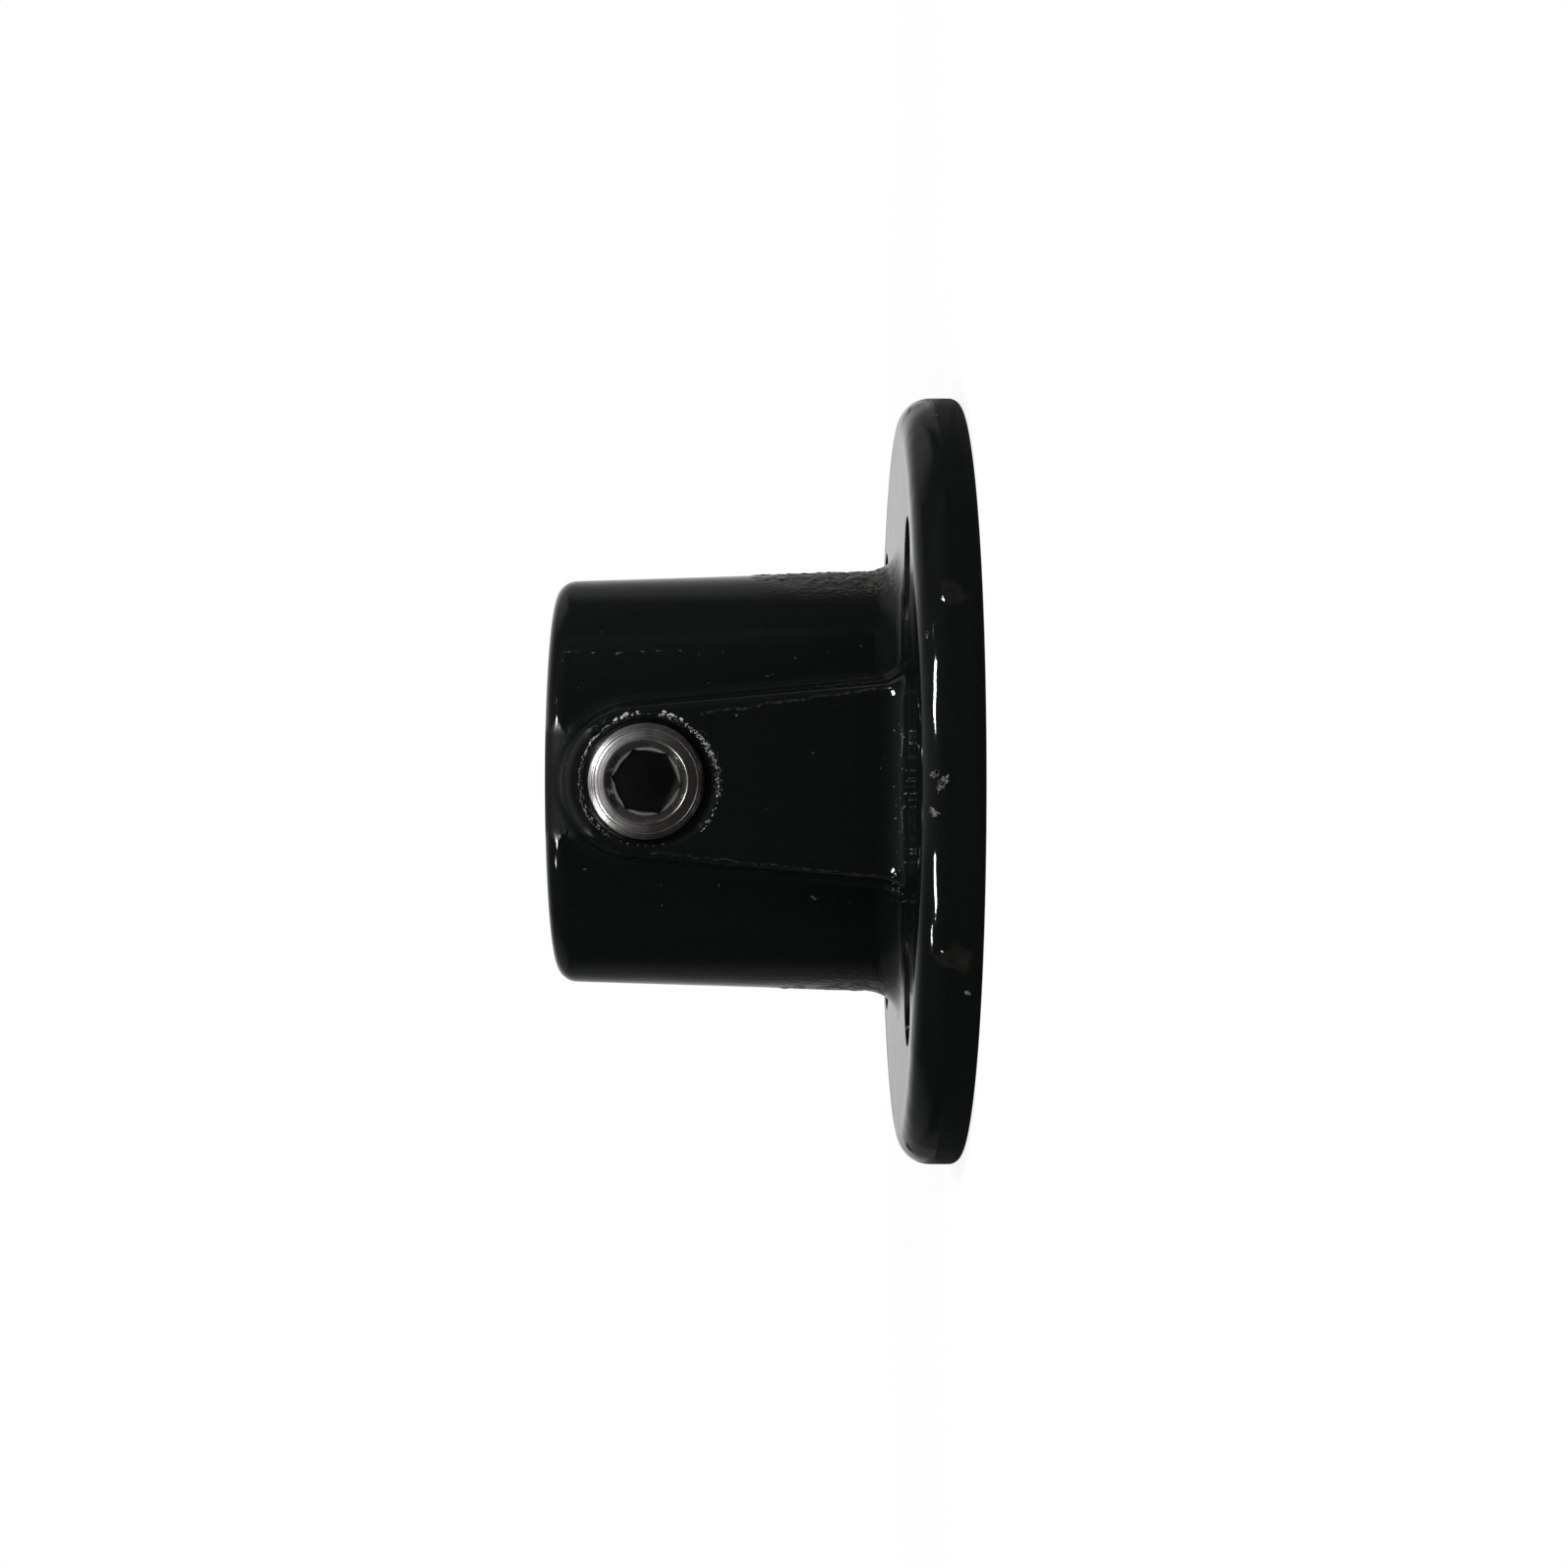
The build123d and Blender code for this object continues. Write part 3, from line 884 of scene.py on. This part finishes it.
# Specks: azimuth, height, length, width, rise and turn
PARTING_LINE_SPECKS = (
    (37.6, 56.7, 0.3, 2.4, 0.05, 0),
    (37.1, 53.6, 0.4, 0.6, 0.08, 0),
    (36.6, 49.9, 0.7, 1.6, 0.07, 20),
    (37.1, 46.5, 0.4, 1.0, 0.07, -10),
    (37.3, 44.2, 0.3, 1.2, 0.06, 0),
    (37.2, 41.2, 0.3, 0.6, 0.07, 0),
    (35.7, 38.4, 0.35, 0.35, 0.1, 0),
    (36.5, 35.0, 0.25, 0.3, 0.08, 0),
)
SOCKET_SPECKS = (
    (26.7, 36.8, 0.3, 0.7, 0.07, 0),
    (28.5, 28.7, 0.25, 0.6, 0.07, 0),
    (29.0, 28.0, 0.35, 0.35, 0.09, 0),
    (44.8, 52.5, 0.2, 0.2, 0.06, 0),
    (42.8, 45.1, 0.2, 0.2, 0.06, 0),
    (44.1, 29.6, 0.25, 0.25, 0.07, 0),
    (25.8, 55.5, 0.2, 0.3, 0.06, 0),
    (34.7, 58.0, 0.2, 0.3, 0.06, 0),
    (35.9, 20.0, 0.3, 0.25, 0.07, 0),
    (34.2, 24.7, 0.3, 0.4, 0.07, 0),
    (37.6, 15.3, 0.3, 0.4, 0.07, 0),
    (-24.1, 54.6, 0.2, 0.6, 0.06, 0),
    (-28.5, 35.6, 0.7, 0.15, 0.05, 0),
    (-32.0, 21.7, 0.5, 1.1, 0.06, 20),
    (-31.4, 22.3, 0.4, 0.7, 0.06, -30),
    (-32.2, 19.0, 0.5, 0.4, 0.06, 0),
    (-32.7, 17.1, 0.4, 0.5, 0.06, 40),
    (-33.4, 25.1, 0.25, 0.3, 0.06, 0),
    (2.8, 13.0, 0.3, 0.3, 0.14, 0),
    (1.9, 10.0, 0.25, 0.3, 0.1, 0),
    (6.3, 22.4, 0.2, 0.4, 0.06, 0),
    (14.5, 33.0, 0.35, 0.3, 0.06, 30),
)
PAINT_BEADS = (
    (10.6, 8.75, 1.7, 0.34, 0.20, 4),
    (4.5, 8.8, 1.7, 0.30, 0.18, 2),
    (-11.3, 8.75, 2.3, 0.32, 0.20, -4),
    (15.6, 58.0, 1.0, 0.8, 0.10, 120),
    (-15.6, 58.0, 1.0, 0.8, 0.10, 60),
)

# Paint runs on top of the plate: x, y, length and width
PLATE_RUNS = ((-44.6, 0.8, 3.8, 0.5), (-41.5, 2.4, 1.6, 0.4), (47.0, 1.5, 1.8, 0.4))
PLATE_RUN_RISE = 0.16


def socket_dust(chance):
    """Fine specks all round the socket."""
    specks = []
    for _ in range(60):
        size = chance.uniform(0.10, 0.24)
        place = (chance.uniform(-180, 180), chance.uniform(12, 57))
        specks.append((*place, size, size * chance.uniform(0.8, 1.6), 0.35 * size, 0))
    return specks


def boss_foot_specks(chance):
    """Specks in the fillet at the foot of the boss."""
    specks = []
    for _ in range(70):
        size = chance.uniform(0.12, 0.34)
        specks.append((chance.uniform(-32, 12), chance.uniform(9.05, 11.2), size, size * 1.3, 0.4 * size, 0))
    return specks


def make_plate_runs(skin, material):
    """Runs of paint on top of the plate."""
    vertices, faces = [], []
    for x, y, length, width in PLATE_RUNS:
        point, normal = skin.inwards((x * MM, y * MM, RAY_START), (0, 0, -1))
        add_dome(vertices, faces, point, normal, width, length, PLATE_RUN_RISE, 0)
    dress(mesh_object("plate_paint_runs", vertices, faces, material), "casting")


def make_paint_details(skin, finishes):
    """All that stands in the paint: tears, rough casting, seams, lumps, specks and runs."""
    chance = random.Random(11)
    make_torn_ring(skin, finishes["torn_paint"])
    make_flakes(skin, chance, "bright_flakes", BRIGHT_FLAKES, finishes["bare_iron_flakes"])
    make_flakes(skin, chance, "dull_flakes", DULL_FLAKES, finishes["torn_paint"])
    for patch in ROUGH_PATCHES:
        rough_patch(skin, *patch, finishes["paint_on_sand_casting"])
    for seam in SEAMS:
        make_seam(skin, *seam, finishes["seam_paint"])
    for *lump, finish in LUMPS:
        lump_patch(skin, *lump, finishes[finish])
    speck_piece(skin, "parting_line_specks", PARTING_LINE_SPECKS, finishes["dusty_paint"])
    speck_piece(skin, "socket_specks", SOCKET_SPECKS, finishes["dusty_paint"])
    speck_piece(skin, "socket_dust", socket_dust(chance), finishes["dusty_paint"])
    speck_piece(skin, "boss_foot_specks", boss_foot_specks(chance), finishes["scuffed_paint"])
    speck_piece(skin, "paint_beads", PAINT_BEADS, finishes["gloss_black_paint"])
    for *sag, finish in RIM_SAGS:
        lump_patch(skin, *sag, finishes[finish])
    make_plate_runs(skin, finishes["gloss_black_paint"])


# ---------------------------------------------------------------- studio

def look_along(position, target, up):
    """World matrix of a camera or lamp at a position, facing a target, with an upward direction."""
    back = (Vector(position) - Vector(target)).normalized()
    right = Vector(up).cross(back).normalized()
    top = back.cross(right)
    matrix = Matrix((right, top, back)).transposed().to_4x4()
    matrix.translation = Vector(position)
    return matrix


CAMERA_PLACE = (0.0, -0.403, 0.0297)
CAMERA_TARGET = (-0.0004, 0.0, 0.0261)
SENSOR_WIDTH = 36.0
LENS = 60.7

SOFT_LIGHT = 0.35  # level of the world on matte surfaces

FLOOR_HALF = 3.0
FLOOR_COLOUR = (0.95, 0.95, 0.95, 1)
FLOOR_GLOW = 0.985  # share of its glow against its matte finish, as gloss shows it
SHADOW_SHARE = 0.15  # share of its matte finish close to the casting, as the camera sees it
SHADOW_DISTANCE = (0.26, 0.11)  # from the casting's middle, over which that share comes in

# Studio walls, in tones by the direction from the casting: sideways, and upwards from back to front
WALL_RADIUS = 2.0
BACKDROP_ACROSS = (
    (0.0, 0.67), (0.16, 0.60), (0.24, 0.50), (0.32, 0.39), (0.41, 0.30),
    (0.51, 0.19), (0.62, 0.12), (0.72, 0.085), (0.84, 0.06), (0.93, 0.0),
)
BACKDROP_UPWARD = (
    (0.0, 1.0), (0.30, 0.95), (0.40, 0.45), (0.49, 0.28), (0.60, 0.12), (0.80, 0.0), (1.0, 0.0),
)
BACKDROP_NARROWING = 0.85  # overhead
BACKDROP_BRIGHTENING = 0.25  # overhead
BACKDROP_LEAN = 0.42  # how much brighter it is towards +X, low down
OVERHEAD_LEAN = 1.3  # what is added to that overhead
WALLS_UPWARD = ((0.0, 0.045), (0.45, 0.06), (0.6, 0.09), (0.8, 0.07), (1.0, 0.03))
WALLS_LEVEL, WALLS_LEAN = 0.82, 0.4
COVING_TONE, COVING_FRONT_TONE = 0.19, 0.02
COVING_FOOT, COVING_TOP, COVING_BACK = (0.13, 0.32), (0.80, 0.55), (0.12, 0.55)
COVING_LEVEL, COVING_LEAN = 0.8, 0.45

# Lamps: name, direction from the casting, width, height and power
LAMP_TARGET = Vector((0, 0, 0.03))
LAMP_DISTANCE = 0.6
LAMPS = (
    ("lamp_right", (0.35, -0.54, 0.74), 0.165, 0.075, 2.2),
    ("lamp_left", (-0.40, -0.54, 0.75), 0.15, 0.055, 1.35),
    ("small_lamp_left", (-0.60, -0.34, 0.84), 0.05, 0.05, 0.2),
    ("small_lamp_right", (0.56, -0.37, 0.75), 0.03, 0.02, 0.006),
)


def make_camera():
    """The camera, lying on its side in front of the set screw."""
    camera = bpy.data.objects.new("camera", bpy.data.cameras.new("camera"))
    camera.data.sensor_width = SENSOR_WIDTH
    camera.data.lens = LENS
    camera.data.clip_start = 0.01
    camera.matrix_world = look_along(CAMERA_PLACE, CAMERA_TARGET, (1, 0, 0))
    bpy.context.scene.collection.objects.link(camera)
    bpy.context.scene.camera = camera


def seen_directly(tree):
    """1 for rays that look at the background itself, past the casting or through glass; else 0."""
    rays = add(tree, "ShaderNodeLightPath")
    return math_node(tree, "MAXIMUM", rays.outputs["Is Camera Ray"], rays.outputs["Is Transmission Ray"])


def make_world():
    """White where it is seen, and a plain soft light on the casting."""
    world = bpy.data.worlds.new("studio")
    bpy.context.scene.world = world
    world.use_nodes = True
    tree = world.node_tree
    tree.nodes.clear()
    rays = add(tree, "ShaderNodeLightPath")
    lit = scale_add(tree, rays.outputs["Is Diffuse Ray"], SOFT_LIGHT - 1, 1.0)
    background = add(tree, "ShaderNodeBackground", inputs={"Color": (1, 1, 1, 1), "Strength": lit})
    output = add(tree, "ShaderNodeOutputWorld")
    tree.links.new(background.outputs[0], output.inputs["Surface"])


def backdrop_tone(tree, side, rise, upward):
    """A pale paper backdrop that hangs behind the casting and comes up overhead."""
    narrowing = scale_add(tree, rise, BACKDROP_NARROWING, 1.0)
    across = ramp(tree, product(tree, math_node(tree, "ABSOLUTE", side), narrowing), BACKDROP_ACROSS)
    over = ramp(tree, upward, BACKDROP_UPWARD)
    brighter = scale_add(tree, rise, BACKDROP_BRIGHTENING, 1.0)
    lean = scale_add(tree, rise, OVERHEAD_LEAN, BACKDROP_LEAN)
    leaning = math_node(tree, "MAXIMUM", scale_add(tree, side, lean, 1.0), 0.0)
    return product(tree, across, over, brighter, leaning)


def coving_tone(tree, parts):
    """A soft band of light along the foot of the backdrop."""
    band = product(tree, step_mask(tree, parts["Z"], *COVING_FOOT), step_mask(tree, parts["Z"], *COVING_TOP))
    at_back = step_mask(tree, parts["Y"], *COVING_BACK)
    level = scale_add(tree, at_back, COVING_TONE - COVING_FRONT_TONE, COVING_FRONT_TONE)
    return product(tree, band, level, scale_add(tree, parts["X"], COVING_LEAN, COVING_LEVEL))


def studio_tone_group():
    """Tone of the studio walls, by the direction from the casting; the sides and the front are dark."""
    tree, entry, result = new_group("studio_tone", [("Place", "Vector")], [("Tone", "Float")])
    unit = add(tree, "ShaderNodeVectorMath", operation="NORMALIZE", inputs={0: entry.outputs["Place"]})
    parts = coordinates(tree, unit.outputs[0])
    side, rise = parts["X"], math_node(tree, "MAXIMUM", parts["Z"], 0.0)
    turn = math_node(tree, "ARCTAN2", parts["Z"], parts["Y"])
    upward = math_node(tree, "DIVIDE", math_node(tree, "MAXIMUM", turn, 0.0), math.pi)
    paper = backdrop_tone(tree, side, rise, upward)
    walls = product(tree, ramp(tree, upward, WALLS_UPWARD), scale_add(tree, side, WALLS_LEAN, WALLS_LEVEL))
    tone = math_node(tree, "MAXIMUM", math_node(tree, "ADD", paper, walls), coving_tone(tree, parts))
    tree.links.new(tone, result.inputs["Tone"])
    return tree


def make_floor(studio_tone):
    """Pale floor, white where it is seen; close to the casting a share of matte finish takes the shadow."""
    half = FLOOR_HALF
    corners = [(-half, -half, 0), (half, -half, 0), (half, half, 0), (-half, half, 0)]
    material, tree, output = new_material("pale_floor")
    place = object_place(tree)
    tone = place_group(tree, studio_tone, Place=place).outputs["Tone"]
    rays = add(tree, "ShaderNodeLightPath")
    direct = seen_directly(tree)
    shown = add(tree, "ShaderNodeMix", inputs={0: direct, 2: tone, 3: 1.0}).outputs[0]
    away = add(tree, "ShaderNodeVectorMath", operation="LENGTH", inputs={0: place}).outputs["Value"]
    shadow = product(tree, step_mask(tree, away, *SHADOW_DISTANCE), -SHADOW_SHARE)
    seen = product(tree, direct, math_node(tree, "ADD", shadow, 1.0))
    mirrored = product(tree, rays.outputs["Is Glossy Ray"], FLOOR_GLOW)
    share = math_node(tree, "MAXIMUM", seen, mirrored)
    matte = add(tree, "ShaderNodeBsdfDiffuse", inputs={"Color": FLOOR_COLOUR})
    glow = add(tree, "ShaderNodeEmission", inputs={"Color": shown, "Strength": 1.0})
    mix = add(tree, "ShaderNodeMixShader", inputs={0: share, 1: matte.outputs[0], 2: glow.outputs[0]})
    tree.links.new(mix.outputs[0], output.inputs["Surface"])
    mesh_object("floor", corners, [(0, 1, 2, 3)], material)


def make_walls(studio_tone):
    """Studio walls and backdrop, as the gloss paint and the bright steel show them."""
    shape = bmesh.new()
    bmesh.ops.create_icosphere(shape, subdivisions=5, radius=WALL_RADIUS)
    mesh = bpy.data.meshes.new("studio_walls")
    shape.to_mesh(mesh)
    shape.free()
    walls = bpy.data.objects.new("studio_walls", mesh)
    bpy.context.scene.collection.objects.link(walls)
    walls.visible_camera = False
    walls.visible_diffuse = False
    walls.visible_shadow = False
    walls.visible_transmission = False
    material, tree, output = new_material("studio_wall")
    tone = place_group(tree, studio_tone, Place=object_place(tree)).outputs["Tone"]
    glow = add(tree, "ShaderNodeEmission", inputs={"Color": tone, "Strength": 1.0})
    tree.links.new(glow.outputs[0], output.inputs["Surface"])
    mesh.materials.append(material)


def make_lamp(name, direction, width, height, power):
    """An area lamp that faces the casting."""
    place = LAMP_TARGET + Vector(direction).normalized() * LAMP_DISTANCE
    lamp = bpy.data.objects.new(name, bpy.data.lights.new(name, "AREA"))
    lamp.data.shape = "RECTANGLE"
    lamp.data.size = width
    lamp.data.size_y = height
    lamp.data.energy = power
    lamp.matrix_world = look_along(place, LAMP_TARGET, (0, 1, 0))
    bpy.context.scene.collection.objects.link(lamp)


# ---------------------------------------------------------------- the part in its studio

around_screw = around_screw_group()
paint_skin = paint_skin_group()
finishes = {"gloss_black_paint": paint_material(paint_skin, around_screw)}
for finish, *levels in TORN_FINISHES:
    finishes[finish] = torn_paint_material(finish, paint_skin, *levels)

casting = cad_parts["flange_casting"]
casting.data.materials.clear()
casting.data.materials.append(finishes["gloss_black_paint"])
make_set_screw(steel_material(around_screw))
make_paint_details(CastingSkin(casting), finishes)

make_camera()
make_world()
studio_tone = studio_tone_group()
make_floor(studio_tone)
make_walls(studio_tone)
for lamp in LAMPS:
    make_lamp(*lamp)

bpy.context.scene.view_settings.view_transform = "Standard"
